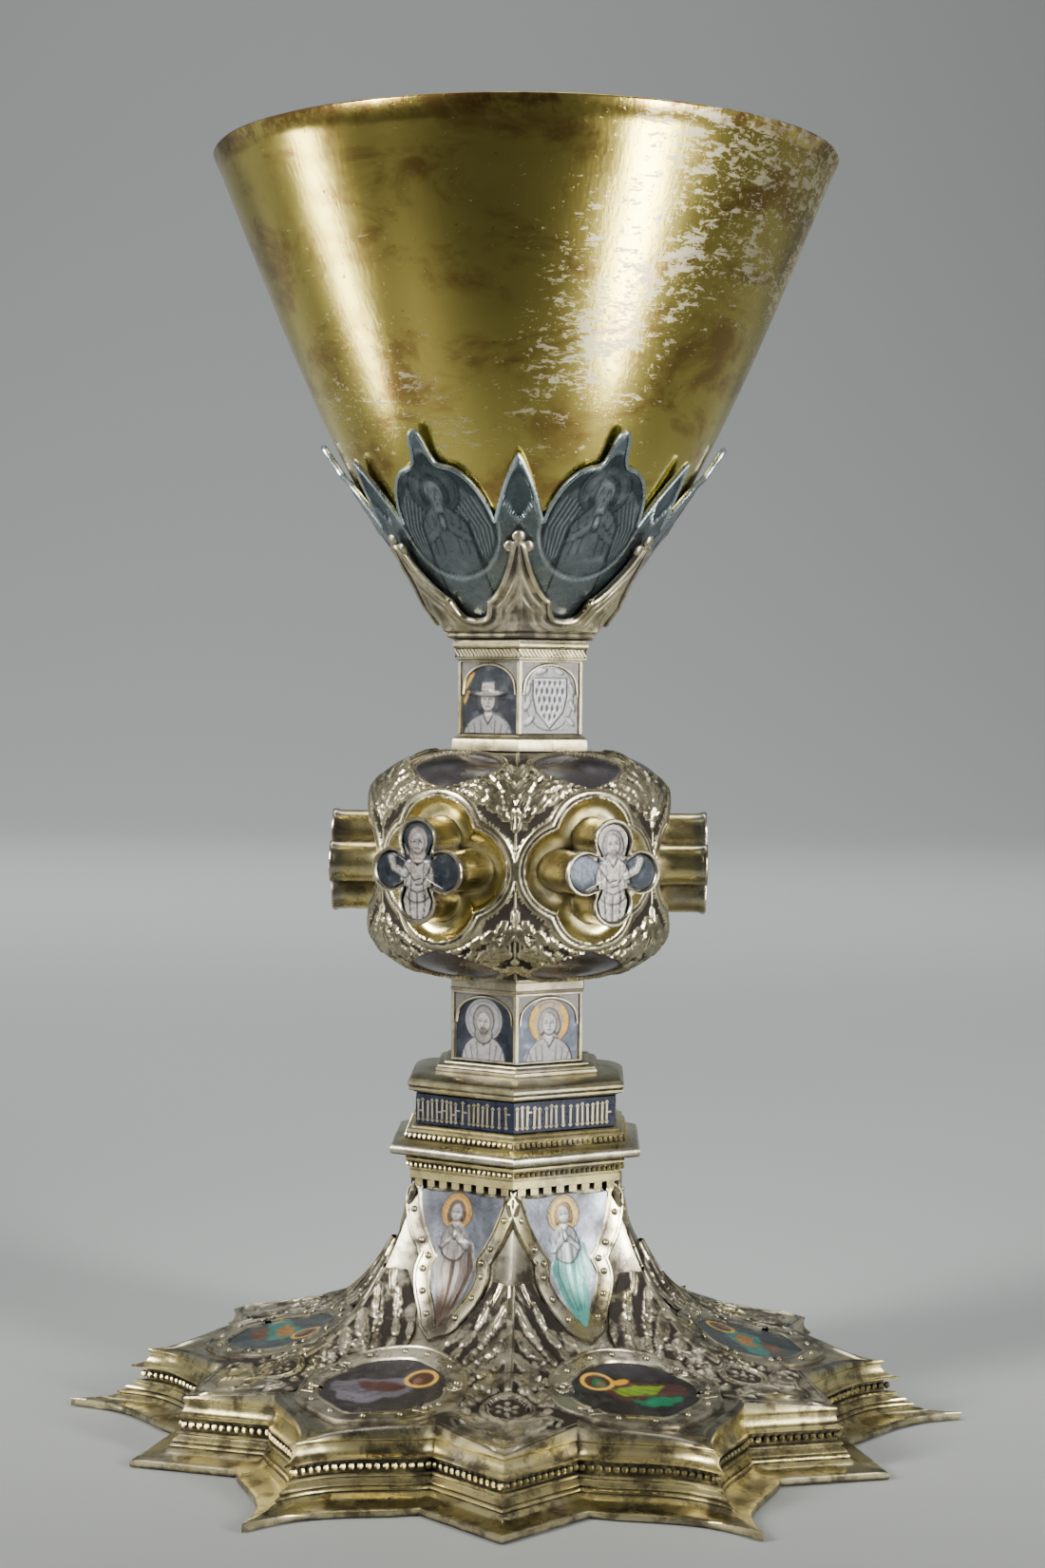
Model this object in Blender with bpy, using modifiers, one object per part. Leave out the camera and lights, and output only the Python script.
"""Silver-gilt chalice with a star-shaped foot, six-sided stem, lobed knop and conical cup.

Frame: metres, +Z up, origin at the centre of the underside of the foot, a star point towards -Y.
Sizes below are millimetres and are turned into metres where a mesh is made.
"""
import math
import bpy
import bmesh
from mathutils import Matrix, Vector

MM = 0.001
SIDES = 6
SECTOR = math.radians(360 / SIDES)

# Clearance between pieces that touch, and the merging distance of turned shapes in metres
GAP = 0.3
MERGE = 0.00001

# Foot: outline of the upright wall, in the plane of the table
WALL_STAR_RADIUS = 61.0
WALL_NOTCH_DEPTH = 11.0
WALL_LOBE_RADIUS = 63.5
WALL_LOBE_SHOULDER = (53.0, 13.0)
WALL_LOBE_NECK = (55.5, 3.0)

# Foot: outline of the flange that lies on the table
FLANGE_STAR_RADIUS = 70.5
FLANGE_NOTCH_DEPTH = 13.0
FLANGE_TOE_RADIUS = 77.5
FLANGE_LOBE_SHOULDER = (62.0, 13.0)
FLANGE_LOBE_NECK = (65.0, 2.5)
FLANGE_THICKNESS = 1.0

# Foot: height of each moulding on the wall, and how far it leans out from wall to flange
LOW_BAND = (1.7, 0.34)
LOW_BAND_TOP = (2.8, 0.26)
LOW_FILLET = (4.4, 0.12)
BEAD_GROOVE_FOOT = (4.8, 0.02)
BEAD_GROOVE_TOP = (6.8, 0.02)
CORNICE = (7.4, 0.16)
WALL_TOP_HEIGHT = 10.2
LOBE_FLARE = 1.5

# Foot: top surface that sweeps up to the neck
FOOT_HEIGHT = 42.5
NECK_RADIUS = 18.9
NOTCH_RISE = 0.16
STAR_SWEEP = 0.248
LOBE_STEEP_SHARE = 0.45
LOBE_STEEP_SWEEP = 0.045
LOBE_SLOW_SWEEP = 0.30
FOOT_WALL = 1.3
OUTER_COLUMNS = (0.35, 1.0)
SEARCH_STEPS = 24
OUTLINE_STATIONS = (0.0, 0.10, 0.22, 0.36, 0.5, 1.0)
CORNER_EASE = 1.25
ENAMEL_THICKNESS = 0.5
ENAMEL_LIFT = 0.35

# Rows across the upper, neck part of the top surface. Each row holds its share of the way from
# neck to wall on the lobe's axis and on the star's, the half width of the enamel plate there, the
# inner and outer edge of the raised frame, how high that frame stands, and how high the middle
# of the star arm stands.
NECK_ROWS = (
    (0.0000, 0.000, 7.9, 8.5, 9.0, 0.0, 0.0),
    (0.0035, 0.011, 7.9, 8.5, 9.0, 0.3, 0.0),
    (0.0200, 0.055, 6.6, 7.3, 8.6, 0.9, 0.0),
    (0.0450, 0.107, 3.7, 4.6, 6.8, 0.9, 0.1),
    (0.0700, 0.142, 4.2, 5.1, 7.3, 0.9, 0.3),
    (0.1100, 0.195, 3.0, 4.0, 6.5, 0.9, 0.6),
    (0.1700, 0.250, 0.5, 1.4, 4.2, 0.9, 0.6),
)

# Rows across the lobe: how far out the row crosses the lobe's axis, its share on the star's axis,
# the points (outwards, sideways) of the plate's edge and of the frame's inner and outer edge,
# and the same two heights.
LOBE_ROWS = (
    (31.2, 0.360, (31.8, 4.0), (31.0, 5.2), (29.6, 7.6), 0.9, 0.6),
    (35.2, 0.430, (35.2, 8.6), (34.5, 9.8), (33.4, 12.2), 0.9, 0.6),
    (40.5, 0.530, (40.5, 10.8), (40.5, 11.9), (40.5, 14.6), 0.9, 0.2),
    (46.0, 0.640, (46.0, 8.6), (46.7, 9.8), (48.0, 12.0), 0.9, 0.8),
    (50.0, 0.740, (49.2, 4.0), (50.2, 5.2), (52.2, 7.2), 0.9, 0.8),
    (54.0, 0.840, (54.0, 0.6), (54.2, 1.6), (56.4, 2.9), 0.9, 0.2),
)
RIM_ROW = 0.930
INNER_ROWS = (0.0, 0.08, 0.26, 0.60)
NECK_PLATE_ROWS = (1, 6)
LOBE_PLATE_ROWS = (0, 4)

# Collar between foot and stem: six-sided mouldings as corner radius and height above its foot
COLLAR_PROFILE = (
    (19.4, 0.0), (20.6, 0.05), (20.6, 1.4), (21.1, 1.6), (21.4, 3.2), (21.9, 4.1), (24.1, 4.4),
    (24.4, 4.9), (24.4, 5.6), (23.9, 6.0), (22.2, 6.4), (21.5, 6.7), (21.4, 7.9), (21.0, 8.5),
    (19.8, 9.0),
)
DENTIL_COUNT = 6
DENTIL_DROP = 1.1
DENTIL_WIDTH = 1.3
DENTIL_DEPTH = 0.55
DENTIL_SETBACK = 0.2
DENTIL_ROOT = 0.6
DENTIL_RUN = 0.92
INSCRIPTION_RADIUS = 19.5
INSCRIPTION_HEIGHT = 5.0
CAP_PROFILE = (
    (19.7, 0.0), (20.8, 0.3), (21.2, 0.9), (21.1, 1.7), (20.2, 2.5), (18.3, 3.1), (15.8, 3.5),
    (15.5, 4.3), (14.2, 4.9),
)

# Stem: six-sided shafts with a plate let into each side
LOWER_STEM_RADIUS = 12.9
LOWER_BAND_RADIUS = 13.4
LOWER_PANEL_HEIGHT = 11.8
LOWER_BAND_HEIGHT = 2.5
UPPER_STEM_RADIUS = 12.2
UPPER_BAND_RADIUS = 13.3
UPPER_FOOT_BAND = 2.6
UPPER_PANEL_HEIGHT = 12.7
UPPER_HEAD_BAND = 3.4
BAND_CHAMFER = 0.5
PANEL_RIB = 0.7
PANEL_MARGIN = 0.4
PANEL_DEPTH = 0.9
PANEL_SETBACK = 0.05
CUTTER_REACH = 1.0

# Knop: turned body with six quatrefoil bosses
KNOP_HEIGHT = 37.9
KNOP_RADIUS = 26.0
KNOP_NECK_RADIUS = 13.6
KNOP_FLAT_HEIGHT = 17.0
KNOP_SEGMENTS = 24
KNOP_ARC_STEPS = 4
KNOP_FULLNESS = 0.85
BOSS_FACE = 32.2
BOSS_LOBE_RADIUS = 3.45
BOSS_LOBE_OFFSET = 5.1
BOSS_CROTCH = 3.1
BOSS_ARC = 4
POCKET_ARC = 4
BOSS_LOBE_ANGLE = 105
BOSS_RIM = 0.55
BOSS_RECESS = 1.0
BOSS_ROOT = 21.0
PLATE_SINK = 0.1
POCKET_MARGIN = 3.2
POCKET_SINK = 1.4

# Cup: heights above its underside
CUP_HEIGHT = 78.1
RIM_RADIUS = 53.2
CUP_WALL = 1.2
CUP_BELLY = 22.0
CUP_SHOULDER_RADIUS = 33.0
CUP_SLOPE = 0.40
CUP_SEGMENTS = 32
CUP_ROWS = 6
LIP_DROP = 0.5

# Calyx: thin sheet of six petals and six lozenges that holds the cup
CALYX_SHEET = 0.9
CALYX_BASE_RADIUS = 13.0
CALYX_SLOPE = 0.80
CALYX_SLOPE_TOP = 0.68
CALYX_BEND = 10.0
CALYX_WAIST = 0.45
CALYX_CHECKS = 40
CUP_CLEARANCE = 0.1
CALYX_EDGE_ANGLES = (0.0, 2.2, 5.5, 11.0, 17.0, 21.3, 25.6, 30.0)
CALYX_EDGE_HEIGHTS = (30.4, 27.2, 24.9, 23.2, 20.6, 19.0, 22.9, 26.6)

# Crown: pierced gothic collar under the calyx
CROWN_SHEET = 1.1
CROWN_FLOOR = 2.0
CROWN_BASE_RADIUS = 13.7
CROWN_EDGE_ANGLES = (0.0, 7.0, 8.5, 13.0, 19.0, 26.5, 30.0)
CROWN_EDGE_HEIGHTS = (2.7, 3.2, 5.2, 5.6, 8.0, 12.4, 15.4)
CROWN_BASE_BAND = 0.9
CROWN_BASE_FLARE = 0.8
FINIAL_HEIGHT = 15.0
FINIAL_DROP = 2.4
FINIAL_STALK = 1.2
FINIAL_LEAF = 1.2
FINIAL_SPREAD = 1.45
FINIAL_TURN_ANGLE = 108
FINIAL_LOBE_ANGLE = 95
FINIAL_ARC = 4

# Levels, stacked from the table up
COLLAR_BOTTOM = FOOT_HEIGHT + GAP
INSCRIPTION_BOTTOM = COLLAR_BOTTOM + COLLAR_PROFILE[-1][1] + GAP
CAP_BOTTOM = INSCRIPTION_BOTTOM + INSCRIPTION_HEIGHT + GAP
LOWER_STEM_BOTTOM = CAP_BOTTOM + CAP_PROFILE[-1][1] + GAP
KNOP_BOTTOM = LOWER_STEM_BOTTOM + LOWER_PANEL_HEIGHT + LOWER_BAND_HEIGHT + GAP
UPPER_STEM_BOTTOM = KNOP_BOTTOM + KNOP_HEIGHT + GAP
CROWN_BOTTOM = UPPER_STEM_BOTTOM + UPPER_FOOT_BAND + UPPER_PANEL_HEIGHT + UPPER_HEAD_BAND + GAP
CALYX_BOTTOM = CROWN_BOTTOM + CROWN_FLOOR + GAP
CUP_BOTTOM = CALYX_BOTTOM + CALYX_SHEET + GAP


def clear_scene():
    """Remove what the scene already holds."""
    for item in list(bpy.data.objects):
        bpy.data.objects.remove(item, do_unlink=True)


def new_collection(name):
    """Make a collection of this name in the scene."""
    group = bpy.data.collections.new(name)
    bpy.context.scene.collection.children.link(group)
    return group


def metal(name, colour, roughness, metallic=1.0):
    """A plain material of one colour, roughness and metallic value."""
    finish = bpy.data.materials.new(name)
    finish.use_nodes = True
    shader = finish.node_tree.nodes["Principled BSDF"]
    shader.inputs["Base Color"].default_value = (*colour, 1.0)
    shader.inputs["Roughness"].default_value = roughness
    shader.inputs["Metallic"].default_value = metallic
    return finish


def add_object(name, mesh_builder, finish, group):
    """Turn a bmesh in millimetres into a named object in metres, split along short diagonals."""
    bmesh.ops.triangulate(mesh_builder, faces=mesh_builder.faces, quad_method="SHORT_EDGE")
    bmesh.ops.scale(mesh_builder, vec=(MM, MM, MM), verts=mesh_builder.verts)
    mesh = bpy.data.meshes.new(name)
    mesh_builder.to_mesh(mesh)
    mesh_builder.free()
    mesh.materials.append(finish)
    mesh.shade_smooth()
    mesh.set_sharp_from_angle(angle=math.radians(30))
    piece = bpy.data.objects.new(name, mesh)
    group.objects.link(piece)
    return piece


def bezier(points, t):
    """Point at t on the cubic curve through two ends with two control points."""
    weights = ((1 - t) ** 3, 3 * (1 - t) ** 2 * t, 3 * (1 - t) * t ** 2, t ** 3)
    return tuple(sum(w * p[axis] for w, p in zip(weights, points)) for axis in range(2))


def blend(a, b, share):
    """Value or point that lies this share of the way from a to b."""
    if isinstance(a, (int, float)):
        return a + (b - a) * share
    return tuple(x + (y - x) * share for x, y in zip(a, b))


def turned(point, angle):
    """Turn a flat (x, y) point about the origin."""
    x, y = point
    return (x * math.cos(angle) - y * math.sin(angle), x * math.sin(angle) + y * math.cos(angle))


def bridge(builder, first, second):
    """Join two rings of as many vertices with a band of faces."""
    count = len(first)
    for i in range(count):
        j = (i + 1) % count
        builder.faces.new((first[i], first[j], second[j], second[i]))


def close_ring(builder, ring, height, upward):
    """Close a ring with a fan to a point on the axis."""
    centre = builder.verts.new((0.0, 0.0, height))
    count = len(ring)
    for i in range(count):
        j = (i + 1) % count
        corners = (ring[i], ring[j], centre) if upward else (ring[j], ring[i], centre)
        builder.faces.new(corners)


def loft(rings, bottom=None, top=None):
    """Closed skin through rings that run up the outside, with a fan at each end."""
    builder = bmesh.new()
    made = [[builder.verts.new(point) for point in ring] for ring in rings]
    for lower, upper in zip(made, made[1:]):
        bridge(builder, lower, upper)
    if bottom is not None:
        close_ring(builder, made[0], bottom, False)
    if top is not None:
        close_ring(builder, made[-1], top, True)
    return builder


def turn(name, profile, steps, finish, group):
    """Turn a profile that runs down its outer side about Z; six steps give a six-sided moulding."""
    mesh = bpy.data.meshes.new(name)
    points = [(0.0, -radius * MM, height * MM) for radius, height in profile]
    edges = [(i, i + 1) for i in range(len(points) - 1)]
    mesh.from_pydata(points, edges, [])
    mesh.materials.append(finish)
    piece = bpy.data.objects.new(name, mesh)
    group.objects.link(piece)
    screw = piece.modifiers.new("Turned", "SCREW")
    screw.axis = "Z"
    screw.angle = math.radians(360)
    screw.steps = steps
    screw.render_steps = steps
    screw.use_merge_vertices = True
    screw.merge_threshold = MERGE
    screw.use_smooth_shade = steps > SIDES
    return piece


def block_profile(levels, base):
    """Closed profile, top to bottom, of a solid block from rising (radius, height) pairs."""
    top = (0.0, base + levels[-1][1])
    bottom = (0.0, base + levels[0][1])
    return [top, *[(radius, base + height) for radius, height in reversed(levels)], bottom]


def set_modifier(piece, cutter, operation):
    """Cut or join one mesh with another through a live Boolean."""
    change = piece.modifiers.new(operation.title(), "BOOLEAN")
    change.operation = operation
    change.solver = "EXACT"
    change.object = cutter


def make_cutter(name, builder, finish, group):
    """A helper mesh that only cuts or joins."""
    cutter = add_object(name, builder, finish, group)
    cutter.hide_render = True
    cutter.display_type = "WIRE"
    return cutter


# The outline of the foot is worked out for half of one lobe, from the lobe's axis (0) to the
# star point (1), with x along the lobe's axis.

def outline_point(position, star, notch, lobe, shoulder, neck):
    """Point of the foot's plan on half a lobe: an ogee to the notch, then a straight star edge."""
    star_tip = turned((star, 0.0), SECTOR / 2)
    notch_point = turned((star - notch, -notch), SECTOR / 2)
    if position <= 0.5:
        return bezier(((lobe, 0.0), neck, shoulder, notch_point), position * 2)
    return blend(notch_point, star_tip, position * 2 - 1)


def wall_outline(position):
    """Plan of the wall's top edge."""
    return outline_point(position, WALL_STAR_RADIUS, WALL_NOTCH_DEPTH, WALL_LOBE_RADIUS,
                         WALL_LOBE_SHOULDER, WALL_LOBE_NECK)


def flange_outline(position):
    """Plan of the flange's edge."""
    return outline_point(position, FLANGE_STAR_RADIUS, FLANGE_NOTCH_DEPTH, FLANGE_TOE_RADIUS,
                         FLANGE_LOBE_SHOULDER, FLANGE_LOBE_NECK)


def neck_outline(position):
    """Plan of the six-sided neck."""
    middle = (NECK_RADIUS * math.cos(SECTOR / 2), 0.0)
    corner = turned((NECK_RADIUS, 0.0), SECTOR / 2)
    return blend(middle, corner, position)


def star_weight(position):
    """How much of the star's profile holds at this place, from none on the lobe's axis to all."""
    return position * position * (3 - 2 * position)


def sweep_height(share, position):
    """Height of the top surface, falling from the neck to the wall's edge."""
    edge_x, edge_y = wall_outline(position)
    edge = WALL_TOP_HEIGHT + NOTCH_RISE * (WALL_STAR_RADIUS - math.hypot(edge_x, edge_y))
    if share >= 1.0:
        return edge
    end = math.exp(-1 / STAR_SWEEP)
    star = (math.exp(-share / STAR_SWEEP) - end) / (1 - end)
    steep = math.exp(-share / LOBE_STEEP_SWEEP)
    end = math.exp(-1 / LOBE_SLOW_SWEEP)
    slow = (math.exp(-share / LOBE_SLOW_SWEEP) - end) / (1 - end)
    lobe = LOBE_STEEP_SHARE * steep + (1 - LOBE_STEEP_SHARE) * slow
    return edge + (FOOT_HEIGHT - edge) * blend(lobe, star, star_weight(position))


def top_point(share, position):
    """Point of the bare top surface."""
    x, y = blend(neck_outline(position), wall_outline(position), share)
    return Vector((x, y, sweep_height(share, position)))


def top_normal(share, position):
    """Direction that stands off the top surface."""
    step = 0.01
    near = min(max(share, step), 1 - step)
    along = top_point(near + step, position) - top_point(near - step, position)
    low = max(position - step, 0.0)
    high = min(position + step, 1.0)
    across = top_point(near, high) - top_point(near, low)
    normal = along.cross(across)
    if position in (0.0, 1.0):
        axis = Vector((*turned((1.0, 0.0), SECTOR / 2 * position), 0.0))
        normal = axis * normal.dot(axis) + Vector((0, 0, normal.z))
    return normal.normalized()


def place_beside_axis(share_at, offset):
    """Place on a row that lies this far to the side of the lobe's axis."""
    low, high = 0.0, 1.0
    for _ in range(SEARCH_STEPS):
        middle = (low + high) / 2
        if top_point(share_at(middle), middle).y < offset:
            low = middle
        else:
            high = middle
    return (low + high) / 2


def share_and_place(outwards, sideways):
    """Share and place of the point of the top surface above a point of the plan."""
    low, high = 0.0, 1.0
    for _ in range(SEARCH_STEPS):
        share = (low + high) / 2
        place = place_beside_axis(lambda _: share, sideways)
        if top_point(share, place).x < outwards:
            low = share
        else:
            high = share
    return share, place


def neck_stations(row):
    """Share and place of the six columns on one row of the neck."""
    def share_at(place):
        return blend(row[0], row[1], star_weight(place))

    places = [0.0] + [place_beside_axis(share_at, offset) for offset in row[2:5]]
    places += [blend(places[-1], 1.0, share) for share in OUTER_COLUMNS]
    return [(share_at(place), place) for place in places]


def lobe_stations(row):
    """Share and place of the six columns on one row of the lobe."""
    points = ((row[0], 0.0), *row[2:5])
    stations = [share_and_place(*point) for point in points]
    stations[0] = (stations[0][0], 0.0)
    stations += [blend(stations[3], (row[1], 1.0), share) for share in OUTER_COLUMNS]
    return stations


def sector_ring(half, lobe):
    """Points of one lobe from a half: its mirrored side, then the half without its last point."""
    whole = [(p[0], -p[1], p[2]) for p in reversed(half)] + [tuple(p) for p in half[1:]]
    angle = SECTOR * lobe
    ring = []
    for x, y, z in whole[:-1]:
        px, py = turned((x, y), angle)
        ring.append((px, py, z))
    return ring


def full_ring(half):
    """All the way round the foot from half a lobe."""
    return [point for lobe in range(SIDES) for point in sector_ring(half, lobe)]


def off_surface(station, height):
    """Point that stands off the top surface."""
    return top_point(*station) + top_normal(*station) * height


def top_half(stations, frame, rod):
    """Raised top surface of half a lobe on one row."""
    relief = (0.0, 0.0, frame, frame, 0.0, rod)
    return [off_surface(station, height) for station, height in zip(stations, relief)]


def wall_half(height, lean):
    """Half a lobe of the wall, leaning this share of the way out to the flange."""
    ring = []
    for place in OUTLINE_STATIONS:
        toe = LOBE_FLARE if place == 0.0 else 1.0
        x, y = blend(wall_outline(place), flange_outline(place), min(lean * toe, 1.0))
        ring.append((x, y, height))
    return ring


def inset_half(inset, height):
    """Half a lobe set in from the wall's outline by the sheet's thickness."""
    ring = []
    for place in OUTLINE_STATIONS:
        x, y = wall_outline(place)
        scale = 1 - inset / math.hypot(x, y) * CORNER_EASE
        ring.append((x * scale, y * scale, height))
    return ring


def inner_half(share):
    """Underside of the top surface on one row."""
    ring = []
    for place in OUTLINE_STATIONS:
        point = top_point(share, place) - top_normal(share, place) * FOOT_WALL
        ring.append((point.x, point.y, min(point.z, FOOT_HEIGHT - FOOT_WALL)))
    return ring


def make_foot(finish, group):
    """Hollow foot: flange, moulded wall, swept top and the shell inside them."""
    rings = [full_ring(inner_half(share)) for share in INNER_ROWS]
    rings.append(full_ring(inset_half(FOOT_WALL, WALL_TOP_HEIGHT - FOOT_WALL)))
    rings.append(full_ring(inset_half(FOOT_WALL, 0.0)))
    rings.append(full_ring(wall_half(0.0, 1.0)))
    rings.append(full_ring(wall_half(FLANGE_THICKNESS, 1.0)))
    for height, lean in (LOW_BAND, LOW_BAND_TOP, LOW_FILLET, BEAD_GROOVE_FOOT, BEAD_GROOVE_TOP,
                         CORNICE):
        rings.append(full_ring(wall_half(height, lean)))
    for share in (1.0, RIM_ROW):
        rings.append(full_ring([tuple(top_point(share, place)) for place in OUTLINE_STATIONS]))
    for row in reversed(LOBE_ROWS):
        rings.append(full_ring(top_half(lobe_stations(row), *row[5:])))
    for row in reversed(NECK_ROWS):
        rings.append(full_ring(top_half(neck_stations(row), *row[5:])))
    builder = loft(rings, FOOT_HEIGHT - FOOT_WALL, FOOT_HEIGHT)
    bmesh.ops.recalc_face_normals(builder, faces=builder.faces)
    return add_object("foot", builder, finish, group)


def make_enamel_plate(name, rows, lobe, finish, group):
    """Thin plate that lies on the top surface across these rows of one lobe."""
    builder = bmesh.new()
    layers = []
    for lift in (ENAMEL_LIFT, ENAMEL_LIFT + ENAMEL_THICKNESS):
        grid = []
        for stations in rows:
            line = []
            for side in (-1, 0, 1):
                point = off_surface(stations[abs(side)], lift)
                x, y = turned((point.x, point.y * (side or 1)), SECTOR * lobe)
                line.append(builder.verts.new((x, y, point.z)))
            grid.append(line)
        layers.append(grid)
    low, high = layers
    for i in range(len(low) - 1):
        for j in range(2):
            builder.faces.new((high[i][j], high[i + 1][j], high[i + 1][j + 1], high[i][j + 1]))
            builder.faces.new((low[i][j], low[i][j + 1], low[i + 1][j + 1], low[i + 1][j]))
        for j in (0, 2):
            builder.faces.new((low[i][j], low[i + 1][j], high[i + 1][j], high[i][j]))
    for i in (0, len(low) - 1):
        for j in range(2):
            builder.faces.new((low[i][j], low[i][j + 1], high[i][j + 1], high[i][j]))
    bmesh.ops.recalc_face_normals(builder, faces=builder.faces)
    return add_object(name, builder, finish, group)


def side_frame(side):
    """Outward direction and sideways direction of one face of the hexagon."""
    angle = SECTOR * side
    outward = Vector((math.cos(angle), math.sin(angle), 0.0))
    sideways = Vector((-math.sin(angle), math.cos(angle), 0.0))
    return outward, sideways


def on_side(side, point):
    """Place a point given outwards, sideways and up on one face of the hexagon."""
    outward, sideways = side_frame(side)
    return outward * point[0] + sideways * point[1] + Vector((0.0, 0.0, point[2]))


def box_on_side(builder, side, reach, half_width, bottom, top, depth, shift=0.0):
    """Box set into one face of the hexagon, from depth behind the reach to the reach."""
    box = bmesh.ops.create_cube(builder, size=1.0)["verts"]
    for vertex in box:
        x, y, z = vertex.co
        place = (reach - depth / 2 + x * depth, shift + y * 2 * half_width,
                 (bottom + top) / 2 + z * (top - bottom))
        vertex.co = on_side(side, place)


def make_collar(finish, groups):
    """Cornice with a row of dentils hanging under it."""
    parts, helpers = groups
    collar = turn("collar", block_profile(COLLAR_PROFILE, COLLAR_BOTTOM), SIDES, finish, parts)
    teeth = bmesh.new()
    reach = (COLLAR_PROFILE[1][0] - DENTIL_SETBACK) * math.cos(SECTOR / 2)
    side_length = COLLAR_PROFILE[1][0]
    for side in range(SIDES):
        for i in range(DENTIL_COUNT):
            shift = side_length * ((i + 0.5) / DENTIL_COUNT - 0.5) * DENTIL_RUN
            box_on_side(teeth, side, reach, DENTIL_WIDTH / 2, COLLAR_BOTTOM - DENTIL_DROP,
                        COLLAR_BOTTOM + DENTIL_ROOT, DENTIL_DEPTH, shift)
    rows = make_cutter("dentils", teeth, finish, helpers)
    set_modifier(collar, rows, "UNION")
    return collar


def make_shaft(name, levels, panel, finish, groups):
    """Six-sided shaft with a shallow bed for a plate on each side."""
    parts, helpers = groups
    shaft = turn(name, block_profile(levels, 0.0), SIDES, finish, parts)
    radius, low, high = panel
    cutter = bmesh.new()
    reach = radius * math.cos(SECTOR / 2)
    half_width = radius / 2 - PANEL_RIB
    for side in range(SIDES):
        box_on_side(cutter, side, reach + CUTTER_REACH, half_width, low + PANEL_MARGIN,
                    high - PANEL_MARGIN, PANEL_DEPTH + CUTTER_REACH)
    beds = make_cutter(name + "_beds", cutter, finish, helpers)
    set_modifier(shaft, beds, "DIFFERENCE")
    return shaft


def make_panels(prefix, panel, finish, group):
    """The six plates let into a shaft."""
    radius, low, high = panel
    reach = radius * math.cos(SECTOR / 2)
    half_width = radius / 2 - PANEL_RIB - GAP
    for side in range(SIDES):
        builder = bmesh.new()
        box_on_side(builder, side, reach - PANEL_SETBACK, half_width,
                    low + PANEL_MARGIN + GAP, high - PANEL_MARGIN - GAP,
                    PANEL_DEPTH - GAP - PANEL_SETBACK)
        bmesh.ops.recalc_face_normals(builder, faces=builder.faces)
        add_object(f"{prefix}_{side + 1}", builder, finish, group)


def quatrefoil(growth, steps):
    """Outline of four lobes as (sideways, up) points, grown evenly from the boss's own."""
    radius = BOSS_LOBE_RADIUS + growth
    offset = BOSS_LOBE_OFFSET
    crossing = 2 * radius * radius - offset * offset
    lobes_meet = crossing > 0
    if lobes_meet:
        corner = (offset + math.sqrt(crossing)) / 2
        limit = math.atan2(corner, corner - offset)
    else:
        corner = BOSS_CROTCH + growth
        limit = math.radians(BOSS_LOBE_ANGLE)
    points = []
    for quarter in range(4):
        arc = []
        for i in range(steps):
            angle = -limit + 2 * limit * i / (steps - 1)
            arc.append((offset + radius * math.cos(angle), radius * math.sin(angle)))
        if lobes_meet:
            arc.pop()
        else:
            arc.append((corner, corner))
        points.extend(turned(point, math.radians(90) * quarter) for point in arc)
    return points


def prism_on_side(builder, side, outline, inner, outer, height):
    """Prism of a flat outline that stands out from one side of the stem's axis."""
    ends = []
    for reach in (inner, outer):
        ring = [builder.verts.new(on_side(side, (reach, x, height + y))) for x, y in outline]
        ends.append(ring)
    bridge(builder, ends[0], ends[1])
    builder.faces.new(list(reversed(ends[0])))
    builder.faces.new(ends[1])


def boss_prisms(name, growth, steps, inner, outer, finish, group):
    """The same lobed prism on all six sides of the knop."""
    builder = bmesh.new()
    middle = KNOP_BOTTOM + KNOP_HEIGHT / 2
    outline = quatrefoil(growth, steps)
    for side in range(SIDES):
        prism_on_side(builder, side, outline, inner, outer, middle)
    bmesh.ops.recalc_face_normals(builder, faces=builder.faces)
    return make_cutter(name, builder, finish, group)


def knop_profile(inset):
    """Barrel profile of the knop, top to bottom, sunk by an inset."""
    middle = KNOP_BOTTOM + KNOP_HEIGHT / 2
    half = KNOP_HEIGHT / 2
    round_height = half - KNOP_FLAT_HEIGHT / 2
    round_width = KNOP_RADIUS - KNOP_NECK_RADIUS
    upper = [(0.0, half - inset)]
    for i in range(KNOP_ARC_STEPS + 1):
        angle = math.radians(90) * (1 - i / KNOP_ARC_STEPS)
        x = KNOP_NECK_RADIUS + (round_width - inset) * math.cos(angle)
        y = KNOP_FLAT_HEIGHT / 2 + (round_height - inset) * math.sin(angle) ** KNOP_FULLNESS
        upper.append((x, y))
    lower = [(x, -y) for x, y in reversed(upper)]
    return [(x, middle + y) for x, y in upper + lower]


def make_knop(finish, groups):
    """Barrel-shaped knop: sunk quatrefoils, and a lobed boss standing out of each."""
    parts, helpers = groups
    knop = turn("knop", knop_profile(0.0), KNOP_SEGMENTS, finish, parts)
    core = turn("knop_core", knop_profile(POCKET_SINK), KNOP_SEGMENTS, finish, helpers)
    core.hide_render = True
    core.display_type = "WIRE"
    pockets = boss_prisms("knop_pockets", POCKET_MARGIN, POCKET_ARC, BOSS_ROOT, BOSS_FACE, finish, helpers)
    bosses = boss_prisms("knop_bosses", 0.0, BOSS_ARC, BOSS_ROOT, BOSS_FACE, finish, helpers)
    recesses = boss_prisms("boss_recesses", -BOSS_RIM, BOSS_ARC, BOSS_FACE - BOSS_RECESS,
                           BOSS_FACE + BOSS_RECESS, finish, helpers)
    set_modifier(knop, pockets, "DIFFERENCE")
    set_modifier(knop, core, "UNION")
    set_modifier(knop, bosses, "UNION")
    set_modifier(knop, recesses, "DIFFERENCE")
    return knop


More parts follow.
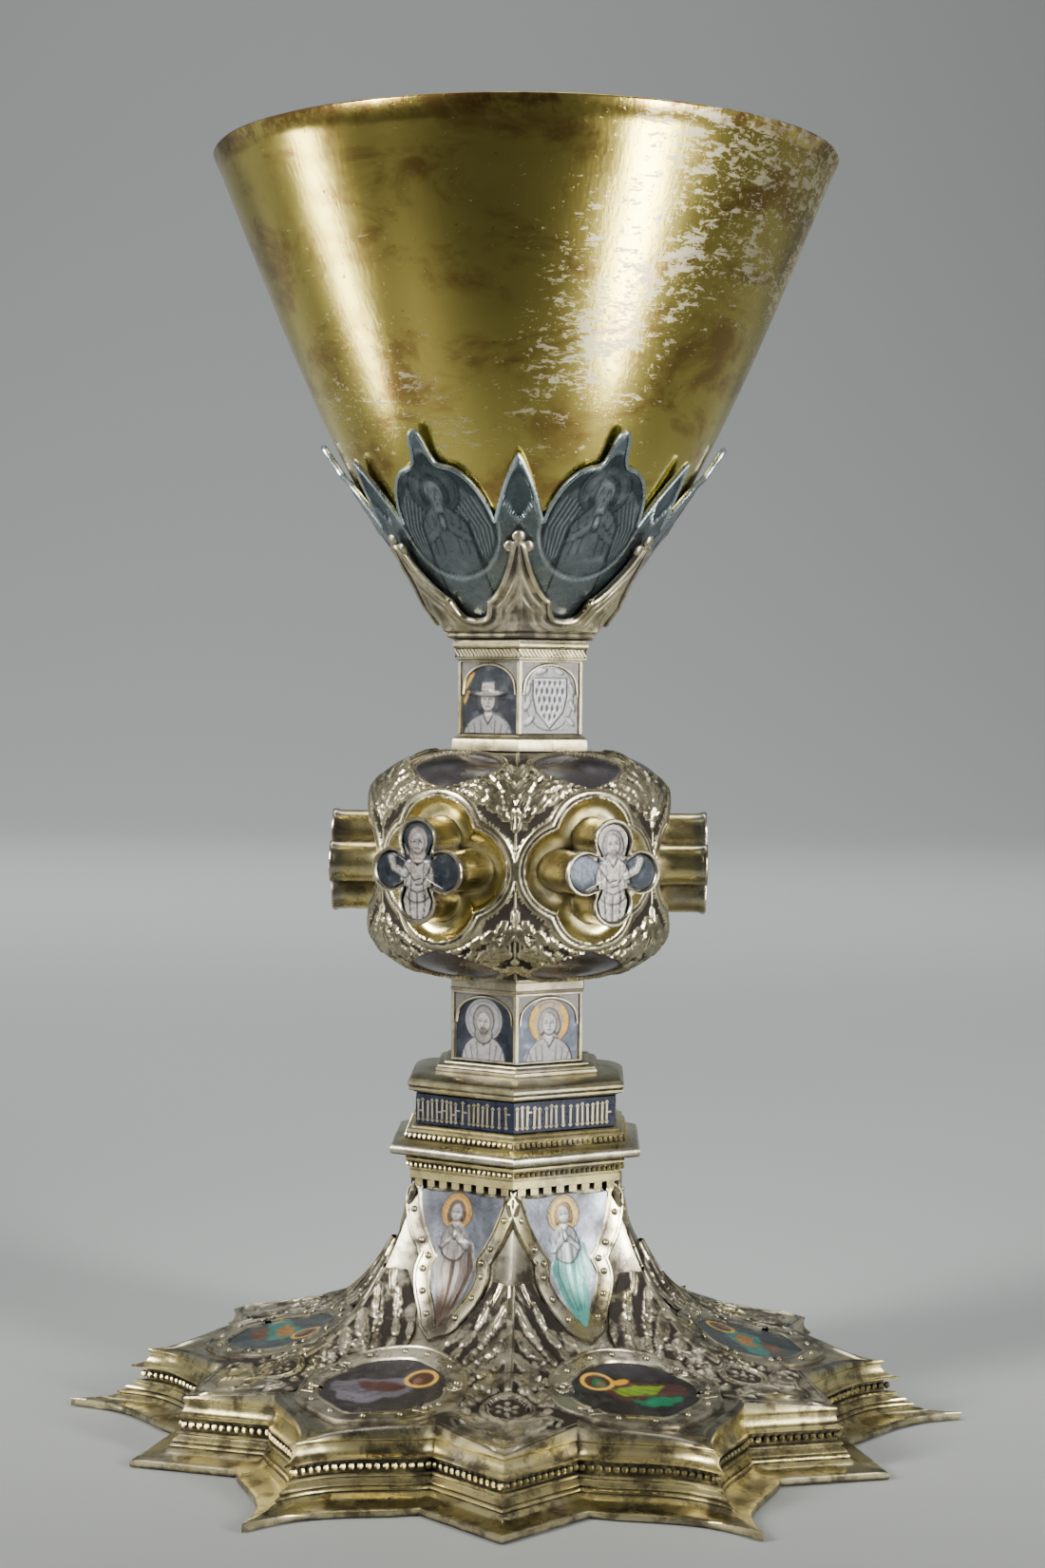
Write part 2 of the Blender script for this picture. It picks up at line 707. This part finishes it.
def make_boss_plates(finish, group):
    """Quatrefoil plate let into the face of each boss."""
    middle = KNOP_BOTTOM + KNOP_HEIGHT / 2
    outline = quatrefoil(-BOSS_RIM - GAP, BOSS_ARC)
    for side in range(SIDES):
        builder = bmesh.new()
        prism_on_side(builder, side, outline, BOSS_FACE - BOSS_RECESS + GAP,
                      BOSS_FACE - PLATE_SINK, middle)
        bmesh.ops.recalc_face_normals(builder, faces=builder.faces)
        add_object(f"boss_plate_{side + 1}", builder, finish, group)


def cup_point(t, inset):
    """Point of the cup's profile, set in along its normal."""
    start = (0.0, 0.0)
    belly = (CUP_BELLY, 0.0)
    drop = (RIM_RADIUS - CUP_SHOULDER_RADIUS) / CUP_SLOPE
    shoulder = (CUP_SHOULDER_RADIUS, CUP_HEIGHT - drop)
    rim = (RIM_RADIUS, CUP_HEIGHT)
    curve = (start, belly, shoulder, rim)
    step = 0.001
    before = bezier(curve, max(t - step, 0.0))
    after = bezier(curve, min(t + step, 1.0))
    length = math.hypot(after[0] - before[0], after[1] - before[1])
    normal = (-(after[1] - before[1]) / length, (after[0] - before[0]) / length)
    x, z = bezier(curve, t)
    return (x + normal[0] * inset, z + normal[1] * inset)


def make_cup(finish, group):
    """Conical bowl with a true wall and a rounded lip."""
    outer = [cup_point(i / CUP_ROWS, 0.0) for i in range(CUP_ROWS + 1)]
    inner = [cup_point(i / CUP_ROWS, CUP_WALL) for i in range(CUP_ROWS)]
    lip = (RIM_RADIUS - CUP_WALL, CUP_HEIGHT - LIP_DROP)
    profile = inner + [lip, (RIM_RADIUS - CUP_WALL / 2, CUP_HEIGHT)]
    outer[-1] = (RIM_RADIUS, CUP_HEIGHT - LIP_DROP)
    profile += list(reversed(outer))
    profile[0] = (0.0, CUP_WALL)
    return turn("cup", [(x, CUP_BOTTOM + z) for x, z in profile], CUP_SEGMENTS, finish, group)


def calyx_cone(height):
    """Outer radius of the calyx as drawn, at a height above its underside."""
    lower = min(height, CALYX_BEND)
    return CALYX_BASE_RADIUS + CALYX_SLOPE * lower + CALYX_SLOPE_TOP * (height - lower)


def calyx_across():
    """How far the calyx's sheet reaches across, measured level."""
    return CALYX_SHEET * math.hypot(1.0, CALYX_SLOPE_TOP)


def calyx_ease():
    """How much wider than drawn the calyx is made, so that it clears the cup at each height."""
    need = 0.0
    for i in range(CALYX_CHECKS):
        radius, height = cup_point(0.5 * i / CALYX_CHECKS, 0.0)
        above = height + CALYX_SHEET + GAP
        if above < max(CALYX_EDGE_HEIGHTS):
            need = max(need, radius + calyx_across() + CUP_CLEARANCE - calyx_cone(above))
    return need


def calyx_radius(height):
    """Outer radius of the calyx at a height above its underside, clear of the cup."""
    return calyx_cone(height) + calyx_ease()


def mirrored_edge(edge):
    """Angles and heights of one sector's edge, from its left corner to its right."""
    left = [(-angle, height) for angle, height in reversed(edge[1:])]
    return left[1:] + list(edge)


def edge_ring(edge, shape):
    """Ring of points all the way round, from a function of angle and edge height."""
    ring = []
    for side in range(SIDES):
        for angle, height in mirrored_edge(edge):
            radius, z = shape(math.radians(angle), height)
            direction = SECTOR * side + math.radians(angle)
            ring.append((radius * math.cos(direction), radius * math.sin(direction), z))
    return ring


def make_calyx(finish, group):
    """Scalloped sheet of petals and lozenges with a closed floor."""
    edge = tuple(zip(CALYX_EDGE_ANGLES, CALYX_EDGE_HEIGHTS))
    thickness = calyx_across()

    def outside(share):
        def shape(angle, height):
            z = height * share
            return calyx_radius(z), CALYX_BOTTOM + z
        return shape

    def inside(share):
        def shape(angle, height):
            z = CALYX_SHEET + (height - CALYX_SHEET) * share
            return calyx_radius(z) - thickness, CALYX_BOTTOM + z
        return shape

    rings = [edge_ring(edge, outside(share)) for share in (0.0, CALYX_WAIST, 1.0)]
    rings += [edge_ring(edge, inside(share)) for share in (1.0, CALYX_WAIST, 0.0)]
    builder = loft(rings, CALYX_BOTTOM, CALYX_BOTTOM + CALYX_SHEET)
    bmesh.ops.recalc_face_normals(builder, faces=builder.faces)
    return add_object("calyx", builder, finish, group)


def crown_inner_radius(height):
    """Radius of the crown's inner side, clear of the calyx."""
    return calyx_radius(height - CROWN_FLOOR - GAP) + GAP


def trefoil():
    """Outline of a three-lobed finial on a short stalk, as (sideways, up) points."""
    points = [(-FINIAL_STALK / 2, -FINIAL_DROP), (FINIAL_STALK / 2, -FINIAL_DROP)]
    for lobe in (-1, 0, 1):
        middle = math.radians(90 + FINIAL_TURN_ANGLE * lobe)
        for i in range(FINIAL_ARC):
            angle = middle + math.radians(FINIAL_LOBE_ANGLE) * (2 * i / (FINIAL_ARC - 1) - 1)
            points.append((FINIAL_SPREAD * math.cos(middle) + FINIAL_LEAF * math.cos(angle),
                           FINIAL_SPREAD * math.sin(middle) + FINIAL_LEAF * math.sin(angle)))
    return points


def make_finials(finish, group):
    """A trefoil standing on each corner of the crown, leaning with its side."""
    builder = bmesh.new()
    radius = crown_inner_radius(FINIAL_HEIGHT) + CROWN_SHEET / 2
    lean = Matrix.Rotation(math.atan(CALYX_SLOPE_TOP), 4, "Y")
    for side in range(SIDES):
        ends = []
        for depth in (-CROWN_SHEET / 2, CROWN_SHEET / 2):
            ends.append([builder.verts.new((depth, x, y)) for x, y in trefoil()])
        bridge(builder, ends[0], ends[1])
        builder.faces.new(list(reversed(ends[0])))
        builder.faces.new(ends[1])
        direction = Matrix.Rotation(SECTOR * (side + 0.5), 4, "Z")
        place = Matrix.Translation((radius, 0.0, CROWN_BOTTOM + FINIAL_HEIGHT))
        bmesh.ops.transform(builder, matrix=direction @ place @ lean, verts=ends[0] + ends[1])
    bmesh.ops.recalc_face_normals(builder, faces=builder.faces)
    return make_cutter("finials", builder, finish, group)


def make_crown(finish, groups):
    """Six-sided funnel whose upper edge is cut into cusped arches with trefoil finials."""
    parts, helpers = groups
    thickness = CROWN_SHEET * math.hypot(1.0, CALYX_SLOPE_TOP)

    def base(z):
        def shape(angle, height):
            corner = CROWN_BASE_RADIUS + calyx_ease() + CROWN_BASE_FLARE * z
            flat = corner * math.cos(SECTOR / 2) / math.cos(angle)
            return flat, CROWN_BOTTOM + z
        return shape

    def outside(share):
        def shape(angle, height):
            z = CROWN_FLOOR + (height - CROWN_FLOOR) * share
            return crown_inner_radius(z) + thickness, CROWN_BOTTOM + z
        return shape

    def inside(share):
        def shape(angle, height):
            z = CROWN_FLOOR + (height - CROWN_FLOOR) * share
            return crown_inner_radius(z), CROWN_BOTTOM + z
        return shape

    edge = tuple(zip(CROWN_EDGE_ANGLES, CROWN_EDGE_HEIGHTS))
    rings = [edge_ring(edge, base(z)) for z in (0.0, CROWN_BASE_BAND)]
    rings += [edge_ring(edge, outside(1.0))]
    rings += [edge_ring(edge, inside(share)) for share in (1.0, 0.0)]
    builder = loft(rings, CROWN_BOTTOM, CROWN_BOTTOM + CROWN_FLOOR)
    bmesh.ops.recalc_face_normals(builder, faces=builder.faces)
    crown = add_object("crown", builder, finish, parts)
    set_modifier(crown, make_finials(finish, helpers), "UNION")
    return crown


def main():
    """Build every piece of the chalice."""
    clear_scene()
    parts = new_collection("chalice")
    helpers = new_collection("cutters")
    groups = (parts, helpers)
    silver = metal("silver_gilt", (0.62, 0.56, 0.42), 0.34)
    gilt = metal("gilding", (0.70, 0.56, 0.22), 0.25)
    enamel = metal("translucent_enamel", (0.22, 0.23, 0.26), 0.25, 0.3)
    dark = metal("oxidised_silver", (0.14, 0.18, 0.20), 0.35)

    make_foot(silver, parts)
    first, last = NECK_PLATE_ROWS
    neck_rows = [neck_stations(row) for row in NECK_ROWS[first:last + 1]]
    first, last = LOBE_PLATE_ROWS
    lobe_rows = [lobe_stations(row) for row in LOBE_ROWS[first:last + 1]]
    for lobe in range(SIDES):
        make_enamel_plate(f"neck_plate_{lobe + 1}", neck_rows, lobe, enamel, parts)
        make_enamel_plate(f"lobe_plate_{lobe + 1}", lobe_rows, lobe, enamel, parts)
    make_collar(gilt, groups)
    band = ((INSCRIPTION_RADIUS, 0.0), (INSCRIPTION_RADIUS, INSCRIPTION_HEIGHT))
    turn("inscription_band", block_profile(band, INSCRIPTION_BOTTOM), SIDES, enamel, parts)
    turn("collar_cap", block_profile(CAP_PROFILE, CAP_BOTTOM), SIDES, silver, parts)

    panel_top = LOWER_STEM_BOTTOM + LOWER_PANEL_HEIGHT
    lower_levels = (
        (LOWER_STEM_RADIUS, LOWER_STEM_BOTTOM), (LOWER_STEM_RADIUS, panel_top),
        (LOWER_BAND_RADIUS, panel_top + BAND_CHAMFER),
        (LOWER_BAND_RADIUS, panel_top + LOWER_BAND_HEIGHT),
    )
    panel = (LOWER_STEM_RADIUS, LOWER_STEM_BOTTOM, panel_top)
    make_shaft("lower_stem", lower_levels, panel, silver, groups)
    make_panels("lower_stem_plate", panel, enamel, parts)

    make_knop(gilt, groups)
    make_boss_plates(enamel, parts)

    panel_foot = UPPER_STEM_BOTTOM + UPPER_FOOT_BAND
    panel_top = panel_foot + UPPER_PANEL_HEIGHT
    upper_levels = (
        (UPPER_BAND_RADIUS, UPPER_STEM_BOTTOM),
        (UPPER_BAND_RADIUS, panel_foot - BAND_CHAMFER), (UPPER_STEM_RADIUS, panel_foot),
        (UPPER_STEM_RADIUS, panel_top), (UPPER_BAND_RADIUS, panel_top + BAND_CHAMFER),
        (UPPER_BAND_RADIUS, panel_top + UPPER_HEAD_BAND),
    )
    panel = (UPPER_STEM_RADIUS, panel_foot, panel_top)
    make_shaft("upper_stem", upper_levels, panel, silver, groups)
    make_panels("upper_stem_plate", panel, enamel, parts)

    make_crown(silver, groups)
    make_calyx(dark, parts)
    make_cup(gilt, parts)


main()
